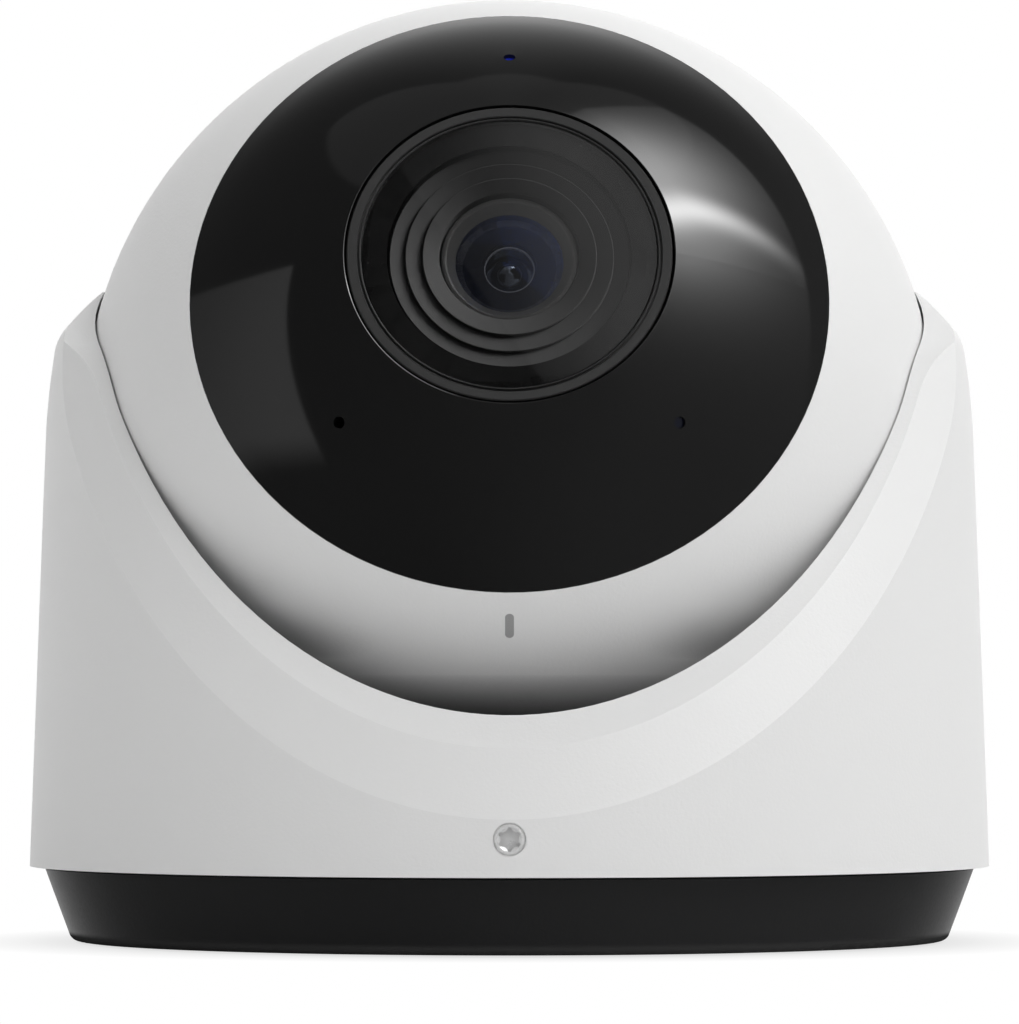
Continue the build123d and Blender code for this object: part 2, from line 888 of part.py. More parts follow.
def microphone_boot():
    spot = beside(pin_turns[1], pin_place)
    sleeve = spot * rod(boot_radius, ir_board_front, ball_radius) & Sphere(faceplate_inner)
    sleeve -= spot * rod(mic_radius, ir_board_front, ir_board_front + mic_height)
    return sleeve - spot * rod(pinhole_radius, ir_board_front, ball_radius)


def chip_lamp(turn):
    return beside(turn, pin_place) * block(
        chip_led_side, chip_led_side, ir_board_front, ir_board_front + chip_led_height
    )


def light_pipe(turn):
    """Clear rod from a chip on the lamp board, with a nib that fills the pinhole."""
    stem = beside(turn, pin_place) * rod(pipe_radius, ir_board_front + chip_led_height, ball_radius)
    stem &= Sphere(faceplate_inner)
    nib = rod(pinhole_radius - nib_gap, faceplate_inner - pipe_radius / 2, ball_radius - nib_recess)
    return stem + pin_axis(turn) * nib


# Harness swivel: stays put while the ball rolls round it

def harness_swivel():
    low = swivel_seat - swivel_play
    flange = band(0, swivel_flange, -ball_radius, low) & Circle(ball_radius - swivel_sink)
    stem = band(0, swivel_radius, low, swivel_boss_top + swivel_play + swivel_nut_height + swivel_tail)
    return spin(flange + stem - band(0, swivel_bore, -ball_radius, 0))


def swivel_nut():
    low = swivel_boss_top + swivel_play
    return spin(band(swivel_radius, swivel_nut_radius, low, low + swivel_nut_height))


ball_frame = Location((0, 0, ball_height), (90 - lens_elevation, 0, 0))

standing_pieces = {
    "foot": foot(),
    "foot_gasket": foot_gasket(),
    "cable_gland": cable_gland(),
    "cover_seal": cover_seal(),
    "glide_ring": glide_ring(),
    "cover": cover(),
    "lock_screw": lock_screw(),
    "ball_cup": ball_cup(),
    "seat_ring": seat_ring(),
    "cup_screws": cup_screws(),
}

ball_pieces = {
    "front_shell": front_shell(),
    "rear_shell": rear_shell(),
    "shell_seal": shell_seal(),
    "shell_screws": shell_screws(),
    "faceplate": faceplate(),
    "faceplate_gasket": faceplate_gasket(),
    "lens_bezel": lens_bezel(),
    "lens_window": lens_window(),
    "window_gasket": window_gasket(),
    "lens_baffle": lens_baffle(),
    "lens_barrel": lens_barrel(),
    "front_lens": front_lens(),
    "lens_iris": lens_iris(),
    "iris_ring": iris_ring(),
    "middle_lens": middle_lens(),
    "rear_lens": rear_lens(),
    "chassis": chassis(),
    "chassis_screws": chassis_screws(),
    "lens_mount": lens_mount(),
    "filter_slider": filter_slider(),
    "infrared_filter": filter_glass(filter_places()[0]),
    "clear_filter": filter_glass(filter_places()[1]),
    "filter_coil": filter_coil(),
    "image_sensor": image_sensor(),
    "sensor_board": sensor_board(),
    "sensor_spacers": sensor_spacers(),
    "main_board": main_board(),
    "board_standoffs": board_standoffs(),
    "processor": processor(),
    "thermal_pad": thermal_pad(),
    "heat_sink": heat_sink(),
    "harness_header": harness_header(),
    "lamp_board": lamp_board(),
    "lamp_posts": lamp_posts(),
    "infrared_lamps": infrared_lamps(),
    "microphone": microphone(),
    "microphone_boot": microphone_boot(),
    "status_lamp": chip_lamp(pin_turns[0]),
    "status_light_pipe": light_pipe(pin_turns[0]),
    "light_sensor": chip_lamp(pin_turns[2]),
    "sensor_light_pipe": light_pipe(pin_turns[2]),
    "harness_swivel": harness_swivel(),
    "swivel_nut": swivel_nut(),
}

os.makedirs("parts", exist_ok=True)
for name, piece in standing_pieces.items():
    export_step(piece, f"parts/{name}.step")
for name, piece in ball_pieces.items():
    placed = [ball_frame * solid for solid in piece.solids()]
    export_step(Compound(placed), f"parts/{name}.step")
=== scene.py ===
# %% [markdown]
# # A turret security camera
# The CAD model gives every piece its exact size and place. This lesson dresses those
# pieces: it sets up the photographer's view, makes one finish after another, adds the small
# parts that are soldered to the boards, and ends with the lamps, the cards and the floor.

import math

import bpy
from mathutils import Matrix, Vector


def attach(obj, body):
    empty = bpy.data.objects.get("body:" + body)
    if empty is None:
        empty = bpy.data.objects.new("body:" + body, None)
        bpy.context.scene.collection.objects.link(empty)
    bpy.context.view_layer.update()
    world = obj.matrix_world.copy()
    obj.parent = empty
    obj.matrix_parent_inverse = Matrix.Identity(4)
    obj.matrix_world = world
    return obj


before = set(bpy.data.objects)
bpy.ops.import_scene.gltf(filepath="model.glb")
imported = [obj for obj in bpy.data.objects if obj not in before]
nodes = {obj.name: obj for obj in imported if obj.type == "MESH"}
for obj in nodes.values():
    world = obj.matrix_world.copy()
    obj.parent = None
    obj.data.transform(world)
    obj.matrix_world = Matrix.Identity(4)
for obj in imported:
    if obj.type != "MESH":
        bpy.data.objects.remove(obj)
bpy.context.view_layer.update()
print("pieces in the frame:", len(nodes))

# %% [markdown]
# ## The view
# A long lens looks at the camera from the front, three fingers above the table and tipped
# slightly up, so upright edges stay upright and round edges flatten to thin curves. The
# focal length in pixels was worked out from those curves, and a 36 mm sensor turns it into
# the millimetres that Blender asks for. All other lengths are in metres.

# %% The photographer's camera
photo_width = 1019
focal_pixels = 7321.6
sensor_width = 36.0
view_distance = 0.91791
view_height = 0.03298
view_tip = 1.2813


def add_object(name, data):
    """A new object in the scene."""
    made = bpy.data.objects.new(name, data)
    bpy.context.scene.collection.objects.link(made)
    return made


view = bpy.data.cameras.new("photo_view")
view.sensor_fit = "HORIZONTAL"
view.sensor_width = sensor_width
view.lens = sensor_width * focal_pixels / photo_width
photographer = add_object("photo_view", view)
photographer.location = (0.0, -view_distance, view_height)
photographer.rotation_euler = (math.radians(90.0 + view_tip), 0.0, 0.0)
bpy.context.scene.camera = photographer
bpy.context.scene.view_settings.view_transform = "Standard"
print("lens length in mm:", round(view.lens, 1))

# %% [markdown]
# ## Signals
# A finish is a little sum of textures. Writing it as Python arithmetic is easier to read than
# a screenful of nodes, so this class wraps one socket: adding or multiplying two signals puts
# a Math node in the tree, and `node` makes every other kind of node.

# %% One class for shader sums
class Signal:
    """A socket in a node tree. Arithmetic on it adds Math nodes."""

    def __init__(self, tree, socket=None):
        self.tree = tree
        self.socket = socket

    def node(self, kind, settings, sockets, output=0):
        """Add a node, set it up, feed its sockets and give back one output."""
        made = self.tree.nodes.new(kind)
        for name, value in settings.items():
            setattr(made, name, value)
        for name, value in sockets.items():
            self.feed(self.find(made.inputs, name), value)
        return Signal(self.tree, self.find(made.outputs, output))

    @staticmethod
    def find(sockets, name):
        """A socket by its number, its identifier or its label."""
        if isinstance(name, int):
            return sockets[name]
        for socket in sockets:
            if socket.identifier == name:
                return socket
        return sockets[name]

    def feed(self, socket, value):
        """Link a signal to a socket, or set the socket's own value."""
        if isinstance(value, Signal):
            self.tree.links.new(value.socket, socket)
        elif socket.type == "RGBA" and not hasattr(value, "__len__"):
            socket.default_value = (value, value, value, 1.0)
        elif socket.type == "RGBA" and len(value) == 3:
            socket.default_value = (*value, 1.0)
        else:
            socket.default_value = value

    def beside(self, name):
        """Another output of the node that this signal comes from."""
        return Signal(self.tree, self.find(self.socket.node.outputs, name))

    def maths(self, operation, first, second=0.0):
        """One Math node."""
        return self.node("ShaderNodeMath", {"operation": operation}, {0: first, 1: second})

    def __add__(self, other):
        return self.maths("ADD", self, other)

    def __radd__(self, other):
        return self.maths("ADD", other, self)

    def __sub__(self, other):
        return self.maths("SUBTRACT", self, other)

    def __rsub__(self, other):
        return self.maths("SUBTRACT", other, self)

    def __mul__(self, other):
        return self.maths("MULTIPLY", self, other)

    def __rmul__(self, other):
        return self.maths("MULTIPLY", other, self)

    def __truediv__(self, other):
        return self.maths("DIVIDE", self, other)

    def __pow__(self, other):
        return self.maths("POWER", self, other)


print("signals ready")

# %% [markdown]
# ## Tools for finishes
# Every finish starts in the same way: a new material, the place of a point on its piece, and
# a noise or two. Object coordinates are used because a piece keeps its own when it moves.

# %% Tools for finishes
def new_finish(name):
    """A new material, its tree as a signal and its surface shader."""
    finish = bpy.data.materials.new(name)
    finish.use_nodes = True
    tree = finish.node_tree
    return finish, Signal(tree), tree.nodes["Principled BSDF"]


def show(pen, shader):
    """Make a shader the one that the material shows."""
    pen.feed(pen.tree.nodes["Material Output"].inputs["Surface"], shader)


def place_on_piece(pen):
    """Where a point lies on the piece, in metres."""
    return pen.node("ShaderNodeTexCoord", {}, {}, "Object")


def noise(pen, place, scale, detail=2.0, roughness=0.5):
    """Soft random lumps, scale of them to the metre."""
    sockets = {"Vector": place, "Scale": scale, "Detail": detail, "Roughness": roughness}
    return pen.node("ShaderNodeTexNoise", {}, sockets, "Fac")


def mix_colour(pen, share, first, second):
    """A colour between two, by a share from 0 to 1."""
    sockets = {"Factor_Float": share, "A_Color": first, "B_Color": second}
    return pen.node("ShaderNodeMix", {"data_type": "RGBA"}, sockets, "Result_Color")


def rise(pen, value, start, end):
    """0 at the start, 1 at the end, smooth between."""
    sockets = {"Value": value, "From Min": start, "From Max": end}
    return pen.node("ShaderNodeMapRange", {"interpolation_type": "SMOOTHSTEP"}, sockets)


def vector(pen, operation, first, second=(0.0, 0.0, 0.0), scale=1.0, output="Vector"):
    """One step of vector arithmetic."""
    sockets = {0: first, 1: second, "Scale": scale}
    return pen.node("ShaderNodeVectorMath", {"operation": operation}, sockets, output)


def bump(pen, height, depth, strength=1.0, **base):
    """A surface normal from a height signal, with its depth in metres."""
    sockets = {"Height": height, "Distance": depth, "Strength": strength, **base}
    return pen.node("ShaderNodeBump", {}, sockets)


def dress(finish, *names):
    """Give CAD pieces their finish."""
    for name in names:
        piece = nodes[name]
        piece.data.materials.clear()
        piece.data.materials.append(finish)
    print(finish.name, "on", ", ".join(names))


print("tools ready")

# %% [markdown]
# ## White moulded plastic
# The cover and the ball are injection moulded and left with a fine spark-eroded grain. Two
# noises make it: a fine one for the grain and a slow one that lets the colour wander by a few
# parts in a hundred. Layers follow, each a mask and a colour. The ball gets painted shade where
# it dips behind the rim and light hardly gets in, which an Ambient Occlusion node finds.
# Last comes the short grey tick that shows the underside: the distance from a short arc, cut
# off at half a millimetre.

# %% White plastic
ball_middle = Vector((0.0, 0.0, 0.0642))
ball_radius = 0.0534
lens_elevation = math.radians(22.8)
lens_axis = Vector((0.0, -math.cos(lens_elevation), math.sin(lens_elevation)))
lens_up = Vector((0.0, math.sin(lens_elevation), math.cos(lens_elevation)))
sideways = Vector((1.0, 0.0, 0.0))
downwards = Vector((0.0, 0.0, -1.0))
tick_from_lens = math.radians(51.1)
tick_half_length = 0.0011
tick_half_width = 0.0005
tick_blur = 0.00006
shade_reach = 0.009
shade_from = 0.022
shade_to = 0.030


def from_ball(pen, place):
    """A point as seen from the middle of the ball."""
    return vector(pen, "SUBTRACT", place, ball_middle)


def along(pen, place, way):
    """How far a point lies in one direction."""
    return vector(pen, "DOT_PRODUCT", place, way, output="Value")


def under_tick(pen, place):
    """1 on the tick, which lies on the ball below the face."""
    out = from_ball(pen, place)
    polar = pen.maths("ARCCOSINE", along(pen, out, lens_axis) / ball_radius)
    from_middle = pen.maths("ABSOLUTE", ball_radius * polar - ball_radius * tick_from_lens)
    past_end = pen.maths("MAXIMUM", from_middle - tick_half_length, 0.0)
    across = along(pen, out, sideways)
    away = (across * across + past_end * past_end) ** 0.5
    near = rise(pen, away, tick_half_width + tick_blur, tick_half_width)
    below_lens = rise(pen, along(pen, out, lens_up), 0.0, -0.001)
    return near * below_lens


def painted_shade_under_rim(pen, place):
    """1 where shade is painted: low on the ball, close under the rim of the cover."""
    open_share = pen.node("ShaderNodeAmbientOcclusion", {}, {"Distance": shade_reach}, "AO")
    depth = along(pen, from_ball(pen, place), downwards)
    low = rise(pen, depth, shade_from, shade_to)
    return low * (1.0 - open_share ** 3.0)


def white_plastic(name, *layers):
    """White with a fine grain, under layers: each a mask and a colour, painted shade or a mark.
    """
    finish, pen, surface = new_finish(name)
    place = place_on_piece(pen)
    grain = noise(pen, place, 2300.0, detail=3.0, roughness=0.6)
    drift = noise(pen, place, 22.0)
    tone = mix_colour(pen, drift, (0.80, 0.80, 0.798), (0.835, 0.835, 0.832))
    for mask, colour in layers:
        tone = mix_colour(pen, mask(pen, place), tone, colour)
    pen.feed(surface.inputs["Base Color"], tone)
    pen.feed(surface.inputs["Roughness"], 0.46 + 0.12 * grain)
    pen.feed(surface.inputs["Normal"], bump(pen, grain, depth=0.00004, strength=0.6))
    return finish


dress(white_plastic("white_cover"), "cover")
# The ball's first layer is painted shade under the rim, the second the grey tick.
white_ball = white_plastic("white_ball", (painted_shade_under_rim, 0.02), (under_tick, 0.36))
dress(white_ball, "front_shell", "rear_shell")

# %% [markdown]
# ## Black satin plastic
# The foot is moulded in black with the same kind of grain, a little coarser. Along its lower
# edge a Mix Shader fades to a plain matt black over the last millimetre, with no shine: painted
# shade where the foot meets the floor.

# %% Black plastic
painted_shade_from = 0.0014
painted_shade_to = 0.0007


def black_plastic():
    """Black with a fine grain, and painted shade along its lower edge: matt, with no shine."""
    finish, pen, surface = new_finish("black_plastic")
    place = place_on_piece(pen)
    grain = noise(pen, place, 2200.0, detail=3.0, roughness=0.6)
    drift = noise(pen, place, 30.0)
    tone = mix_colour(pen, drift, (0.0105, 0.0105, 0.011), (0.0135, 0.0135, 0.014))
    pen.feed(surface.inputs["Base Color"], tone)
    pen.feed(surface.inputs["Roughness"], 0.36 + 0.14 * grain)
    pen.feed(surface.inputs["Normal"], bump(pen, grain, depth=0.00003, strength=0.5))
    height = pen.node("ShaderNodeSeparateXYZ", {}, {"Vector": place}, "Z")
    # Painted shade: the lower edge turns matt black where the foot meets the floor.
    painted_shade_share = rise(pen, height, painted_shade_from, painted_shade_to)
    satin = Signal(pen.tree, surface.outputs["BSDF"])
    matt = pen.node("ShaderNodeBsdfDiffuse", {}, {"Color": 0.045})
    both = pen.node("ShaderNodeMixShader", {}, {0: painted_shade_share, 1: satin, 2: matt})
    show(pen, both)
    return finish


dress(black_plastic(), "foot")

# %% [markdown]
# ## Polished black face
# The face lets infrared light out and looks black. It is polished, so most of what we see on
# it is the studio. A very faint haze in the roughness stops it from being a perfect mirror.
# The edge of its opening is rounded by a tenth of a millimetre, too little to model: there the
# normal is tipped towards the lens axis, and the edge picks up a thin line of light.

# %% Polished face
opening_radius = 0.01975
edge_from = opening_radius + 0.00016  # where the rounding starts
edge_to = opening_radius + 0.00002  # where the normal is tipped by its full length


def from_lens_axis(pen, place):
    """Distance of a point from the lens axis, in metres."""
    across = vector(pen, "CROSS_PRODUCT", from_ball(pen, place), lens_axis)
    return vector(pen, "LENGTH", across, output="Value")


def tipped(pen, place, share):
    """The surface's normal, tipped towards the lens axis by a share of its length."""
    out = from_ball(pen, place)
    level = vector(pen, "SCALE", lens_axis, scale=along(pen, out, lens_axis))
    outward = vector(pen, "NORMALIZE", vector(pen, "SUBTRACT", out, level))
    spaces = {"vector_type": "VECTOR", "convert_from": "OBJECT", "convert_to": "WORLD"}
    outward = pen.node("ShaderNodeVectorTransform", spaces, {"Vector": outward})
    normal = pen.node("ShaderNodeNewGeometry", {}, {}, "Normal")
    tip = vector(pen, "SUBTRACT", normal, vector(pen, "SCALE", outward, scale=share))
    return vector(pen, "NORMALIZE", tip)


def polished_black():
    """A black mirror with a faint haze and a bright edge round the opening."""
    finish, pen, surface = new_finish("polished_black")
    place = place_on_piece(pen)
    haze = noise(pen, place, 60.0, detail=4.0)
    edge = rise(pen, from_lens_axis(pen, place), edge_from, edge_to)
    pen.feed(surface.inputs["Base Color"], mix_colour(pen, haze, 0.0052, 0.0068))
    pen.feed(surface.inputs["Roughness"], 0.05 + 0.03 * haze)
    pen.feed(surface.inputs["Normal"], tipped(pen, place, edge))
    return finish


dress(polished_black(), "faceplate")

# %% [markdown]
# ## Rings round the lens
# The bezel, the stepped baffle and the lens barrel are turned shapes, so their fine lines run
# round the lens axis. The distance of a point from that axis, times a large number, gives the
# lines. The flat steps of the baffle are cut with ridges finer than a hair that lean towards
# the lens and swallow stray light, so each step is bright on the side away from the lamp: the
# tipped normal again. The edge of the iris gets a painted highlight, a thin light ring.

# %% Turned black
line_depth = 0.000003
iris_edge = 0.00302
highlight_width = 0.00003


def turned_black(name, dark, light, rough, pitch, gleam=0.5, ridge=0.0, painted_highlight_tone=None):
    """Black with turned lines. A ridge tips its normal; a tone paints a highlight on the iris's
    edge.
    """
    finish, pen, surface = new_finish(name)
    place = place_on_piece(pen)
    radius = from_lens_axis(pen, place)
    lines = pen.maths("SINE", radius * (2 * math.pi / pitch))
    speck = noise(pen, place, 1800.0)
    tone = mix_colour(pen, speck, dark, light)
    # A thin ring of painted highlight on the iris's edge.
    if painted_highlight_tone:
        at_highlight = rise(pen, radius, iris_edge + highlight_width, iris_edge)
        tone = mix_colour(pen, at_highlight, tone, painted_highlight_tone)
    facing = tipped(pen, place, ridge)
    pen.feed(surface.inputs["Base Color"], tone)
    pen.feed(surface.inputs["Roughness"], rough + 0.06 * speck)
    pen.feed(surface.inputs["Normal"], bump(pen, lines, line_depth, strength=0.3, Normal=facing))
    surface.inputs["Specular IOR Level"].default_value = gleam
    return finish


bezel = turned_black("bezel_black", 0.016, 0.019, rough=0.34, pitch=0.00022)
dress(bezel, "lens_bezel")
baffle = turned_black(
    "baffle_black", 0.005, 0.006, rough=0.50, pitch=0.00025, gleam=0.1, ridge=0.7
)
dress(baffle, "lens_baffle")
barrel = turned_black("barrel_black", 0.034, 0.038, rough=0.40, pitch=0.00025, gleam=0.2)
dress(barrel, "lens_barrel")
mount = turned_black("mount_black", 0.028, 0.032, rough=0.36, pitch=0.00025)
dress(mount, "lens_mount")
# The iris's light edge is a painted highlight.
iris = turned_black(
    "iris_black", 0.008, 0.010, rough=0.40, pitch=0.0002, gleam=0.1, painted_highlight_tone=0.20
)
dress(iris, "lens_iris")
spacer = turned_black("spacer_black", 0.008, 0.010, rough=0.40, pitch=0.0002, gleam=0.1)
dress(spacer, "iris_ring")
border = turned_black("border_black", 0.0018, 0.0024, rough=0.45, pitch=0.0004, gleam=0.1)
dress(border, "window_gasket")

# %% [markdown]
# ## Glass
# A pane is mostly nothing: light goes straight through, and a small share is mirrored. Mixing
# a Transparent and a Glossy shader by that share does just this and lets the lamps shine
# through. Only the outer face of a pane mirrors, because one clean image reads better than
# two. The window mirrors a tenth. The lenses are coated, which tints what they mirror blue,
# and the infrared filter mirrors red.

# %% Glass
def coated_glass(name, mirror, through, strength):
    """Clear glass: the colour it mirrors, the colour it lets through and the share mirrored."""
    finish, pen, surface = new_finish(name)
    pen.tree.nodes.remove(surface)
    smear = noise(pen, place_on_piece(pen), 300.0, detail=3.0)
    clear = pen.node("ShaderNodeBsdfTransparent", {}, {"Color": through})
    shine = pen.node("ShaderNodeBsdfGlossy", {}, {"Color": mirror, "Roughness": 0.01})
    front = 1.0 - pen.node("ShaderNodeNewGeometry", {}, {}, "Backfacing")
    share = strength * front * (0.9 + 0.2 * smear)
    both = pen.node("ShaderNodeMixShader", {}, {0: share, 1: clear, 2: shine})
    show(pen, both)
    return finish


window_glass = coated_glass("window_glass", mirror=1.0, through=0.97, strength=0.10)
dress(window_glass, "lens_window", "clear_filter")
lens_glass = coated_glass(
    "lens_glass", mirror=(0.06, 0.12, 0.42), through=(0.90, 0.91, 0.94), strength=0.09
)
dress(lens_glass, "front_lens")
inner_glass = coated_glass(
    "inner_glass", mirror=(0.85, 0.92, 1.0), through=(0.80, 0.82, 0.86), strength=0.30
)
dress(inner_glass, "middle_lens", "rear_lens")
filter_glass = coated_glass(
    "filter_glass", mirror=(1.0, 0.45, 0.4), through=(0.55, 0.9, 0.85), strength=0.08
)
dress(filter_glass, "infrared_filter")

# %% [markdown]
# ## Light pipes
# Two of the pinholes in the face hold the end of a clear rod. The upper one leads to a status
# lamp and is dyed blue, the other to a light sensor. Both are smooth at the end that shows.

# %% Light pipes
def dyed_pipe(name, dark, light):
    """A smooth clear rod, dyed through."""
    finish, pen, surface = new_finish(name)
    cloud = noise(pen, place_on_piece(pen), 900.0)
    pen.feed(surface.inputs["Base Color"], mix_colour(pen, cloud, dark, light))
    pen.feed(surface.inputs["Roughness"], 0.10 + 0.06 * cloud)
    return finish


blue_pipe = dyed_pipe("blue_pipe", (0.012, 0.024, 0.40), (0.020, 0.040, 0.60))
dress(blue_pipe, "status_light_pipe")
smoke_pipe = dyed_pipe("smoke_pipe", (0.003, 0.004, 0.012), (0.005, 0.007, 0.02))
dress(smoke_pipe, "sensor_light_pipe")

# %% [markdown]
# ## Metals
# Screws are bright zinc, the chassis and the heat sink bare aluminium, the spacers brass and
# the coil copper. One recipe serves them all: streaks along one direction blur the shine a
# little. The lock screw at the front is pale and hardly metallic: its light tone is painted
# reflection.

# %% Metals
def metal(name, colour, rough, streak, metallic=1.0):
    """Metal with streaks, so many to the metre along each axis."""
    finish, pen, surface = new_finish(name)
    place = place_on_piece(pen)
    stretched = pen.node("ShaderNodeMapping", {}, {"Vector": place, "Scale": streak})
    lines = noise(pen, stretched, 1.0, detail=3.0)
    pale = tuple(min(1.0, 1.12 * part) for part in colour)
    pen.feed(surface.inputs["Base Color"], mix_colour(pen, lines, colour, pale))
    pen.feed(surface.inputs["Metallic"], metallic)
    pen.feed(surface.inputs["Roughness"], rough + 0.15 * lines)
    pen.feed(surface.inputs["Normal"], bump(pen, lines, depth=0.00001, strength=0.2))
    return finish


zinc = metal("zinc_steel", (0.60, 0.60, 0.61), rough=0.22, streak=(900, 900, 2500))
dress(zinc, "cup_screws", "shell_screws", "chassis_screws", "microphone")
# The lock screw's pale tone is painted reflection.
painted_reflection_screw = metal(
    "lock_screw_painted_reflection", (0.70, 0.70, 0.70), rough=0.20, streak=(700, 2500, 700), metallic=0.12
)
dress(painted_reflection_screw, "lock_screw")
aluminium = metal("bare_aluminium", (0.72, 0.72, 0.73), rough=0.32, streak=(4000, 300, 300))
dress(aluminium, "chassis", "heat_sink")
brass = metal("turned_brass", (0.78, 0.57, 0.24), rough=0.25, streak=(600, 600, 3000))
dress(brass, "sensor_spacers", "board_standoffs", "lamp_posts")
copper = metal("copper_wire", (0.75, 0.36, 0.20), rough=0.3, streak=(200, 200, 6000))
dress(copper, "filter_coil")

# %% [markdown]
# ## Rubber, nylon and boards
# What is left lies inside or under the foot. It still gets its own finishes: dusty rubber,
# creamy nylon, grey glass-filled plastic, and green boards with a hint of the woven glass under
# the lacquer.

# %% Plain finishes of the inside
def speckled(name, dark, light, rough, scale, depth):
    """A plain finish with specks, scale of them to the metre."""
    finish, pen, surface = new_finish(name)
    speck = noise(pen, place_on_piece(pen), scale, detail=4.0, roughness=0.6)
    pen.feed(surface.inputs["Base Color"], mix_colour(pen, speck, dark, light))
    pen.feed(surface.inputs["Roughness"], rough + 0.15 * speck)
    pen.feed(surface.inputs["Normal"], bump(pen, speck, depth, strength=0.4))
    return finish


rubber = speckled("black_rubber", 0.010, 0.020, rough=0.60, scale=1500.0, depth=0.00003)
dress(rubber, "cable_gland", "cover_seal", "seat_ring", "shell_seal", "microphone_boot")
foam = speckled("foam", 0.02, 0.05, rough=0.80, scale=2500.0, depth=0.00008)
dress(foam, "foot_gasket", "faceplate_gasket", "thermal_pad")
cream, pale_cream = (0.66, 0.64, 0.58), (0.74, 0.72, 0.66)
nylon = speckled("pale_nylon", cream, pale_cream, rough=0.45, scale=700.0, depth=0.00002)
dress(nylon, "glide_ring", "harness_swivel", "swivel_nut", "harness_header")
grey = speckled("grey_plastic", 0.17, 0.22, rough=0.45, scale=1200.0, depth=0.00003)
dress(grey, "ball_cup")
dark_green, green = (0.008, 0.09, 0.035), (0.015, 0.14, 0.06)
board = speckled("green_board", dark_green, green, rough=0.30, scale=1800.0, depth=0.00001)
dress(board, "main_board", "sensor_board", "lamp_board")
chip = speckled("chip_black", 0.012, 0.022, rough=0.45, scale=2600.0, depth=0.00001)
dress(chip, "processor", "image_sensor", "status_lamp", "light_sensor", "filter_slider")
dark_violet, violet = (0.03, 0.012, 0.05), (0.05, 0.02, 0.07)
epoxy = speckled("lamp_epoxy", dark_violet, violet, rough=0.10, scale=900.0, depth=0.000005)
dress(epoxy, "infrared_lamps")

# %% [markdown]
# ## Small parts on the boards
# A ring of chip resistors feeds the infrared lamps, and capacitors crowd round the processor.
# They repeat, so Geometry Nodes set them out: one tree puts boxes round a circle and turns each
# to face outwards, with its count and sizes as inputs. The mesh it makes is kept and the
# modifier is taken off, so that the piece is plain geometry.

# %% A ring of parts
def named_inputs(tree, *inputs):
    """Add inputs to a tree and tell their identifiers."""
    tree.interface.new_socket("Geometry", in_out="OUTPUT", socket_type="NodeSocketGeometry")
    identifiers = {}
    for name, kind in inputs:
        made = tree.interface.new_socket(name, in_out="INPUT", socket_type=kind)
        identifiers[name] = made.identifier
    return identifiers


def set_out(pen, points, part, turn, finish):
    """Copies of a part on points, made real and given their finish."""
    sockets = {"Points": points, "Instance": part, "Rotation": turn}
    copies = pen.node("GeometryNodeInstanceOnPoints", {}, sockets)
    solid = pen.node("GeometryNodeRealizeInstances", {}, {"Geometry": copies})
    done = pen.node("GeometryNodeSetMaterial", {}, {"Geometry": solid, "Material": finish})
    end = pen.tree.nodes.new("NodeGroupOutput")
    pen.feed(end.inputs["Geometry"], done)


def part_ring():
    """The tree that sets boxes out round a circle, and its inputs' identifiers."""
    tree = bpy.data.node_groups.new("part_ring", "GeometryNodeTree")
    names = named_inputs(
        tree,
        ("Count", "NodeSocketInt"),
        ("Radius", "NodeSocketFloat"),
        ("Size", "NodeSocketVector"),
        ("Finish", "NodeSocketMaterial"),
    )
    pen = Signal(tree)
    count = pen.node("NodeGroupInput", {}, {}, "Count")
    sockets = {"Vertices": count, "Radius": count.beside("Radius")}
    points = pen.node("GeometryNodeMeshCircle", {}, sockets)
    part = pen.node("GeometryNodeMeshCube", {}, {"Size": count.beside("Size")})
    place = pen.node("GeometryNodeInputPosition", {}, {})
    turn = pen.node("FunctionNodeAlignRotationToVector", {"axis": "X"}, {"Vector": place})
    set_out(pen, points, part, turn, count.beside("Finish"))
    return tree, names


lean_back = Matrix.Rotation(math.pi / 2 - lens_elevation, 4, "X")
lens_frame = Matrix.Translation(ball_middle) @ lean_back


def settle(name, tree, names, values, spot):
    """Run a tree once, keep its mesh in place on the ball and let it ride there."""
    piece = add_object(name, bpy.data.meshes.new(name))
    maker = piece.modifiers.new("maker", "NODES")
    maker.node_group = tree
    for label, value in values.items():
        maker[names[label]] = value
    depsgraph = bpy.context.evaluated_depsgraph_get()
    mesh = bpy.data.meshes.new_from_object(piece.evaluated_get(depsgraph))
    piece.modifiers.clear()
    piece.data = mesh
    mesh.transform(lens_frame @ Matrix.Translation(spot))
    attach(piece, "ball")
    print(name, "has", len(mesh.polygons), "faces")


ring_tree, ring_names = part_ring()
print("ring of parts made of", len(ring_tree.nodes), "nodes")

# %% [markdown]
# ## Chip parts
# A chip part is a dark ceramic body between two tinned ends, soldered flat on its board. The
# ring's tree runs once for the bodies and once for each row of ends. The ends are a little
# larger than the body, as the solder makes them.

# %% Chip parts
end_share = 0.25
end_swell = 1.04
tinned = metal("tinned_ends", (0.66, 0.66, 0.65), rough=0.30, streak=(900, 900, 900))


def chip_ring(name, count, radius, length, width, height, base):
    """Chip parts round the lens axis, on a board's face at base. Below it, height is negative."""
    cap = end_share * length
    middle = Vector((0.0, 0.0, base + height / 2))
    size = (length - 2 * cap, width, abs(height))
    body = {"Count": count, "Radius": radius, "Size": size, "Finish": chip}
    settle(name + "_bodies", ring_tree, ring_names, body, middle)
    for end, side in (("inner", -1), ("outer", 1)):
        place = radius + side * (length - cap) / 2
        size = (cap, end_swell * width, end_swell * abs(height))
        values = {"Count": count, "Radius": place, "Size": size, "Finish": tinned}
        settle(f"{name}_{end}_ends", ring_tree, ring_names, values, middle)


chip_ring(
    "lamp_resistors", count=24, radius=0.0310,
    length=0.0016, width=0.0008, height=0.0005, base=0.03561,
)
chip_ring(
    "processor_capacitors", count=20, radius=0.0135,
    length=0.0020, width=0.0012, height=-0.0009, base=-0.00197,
)

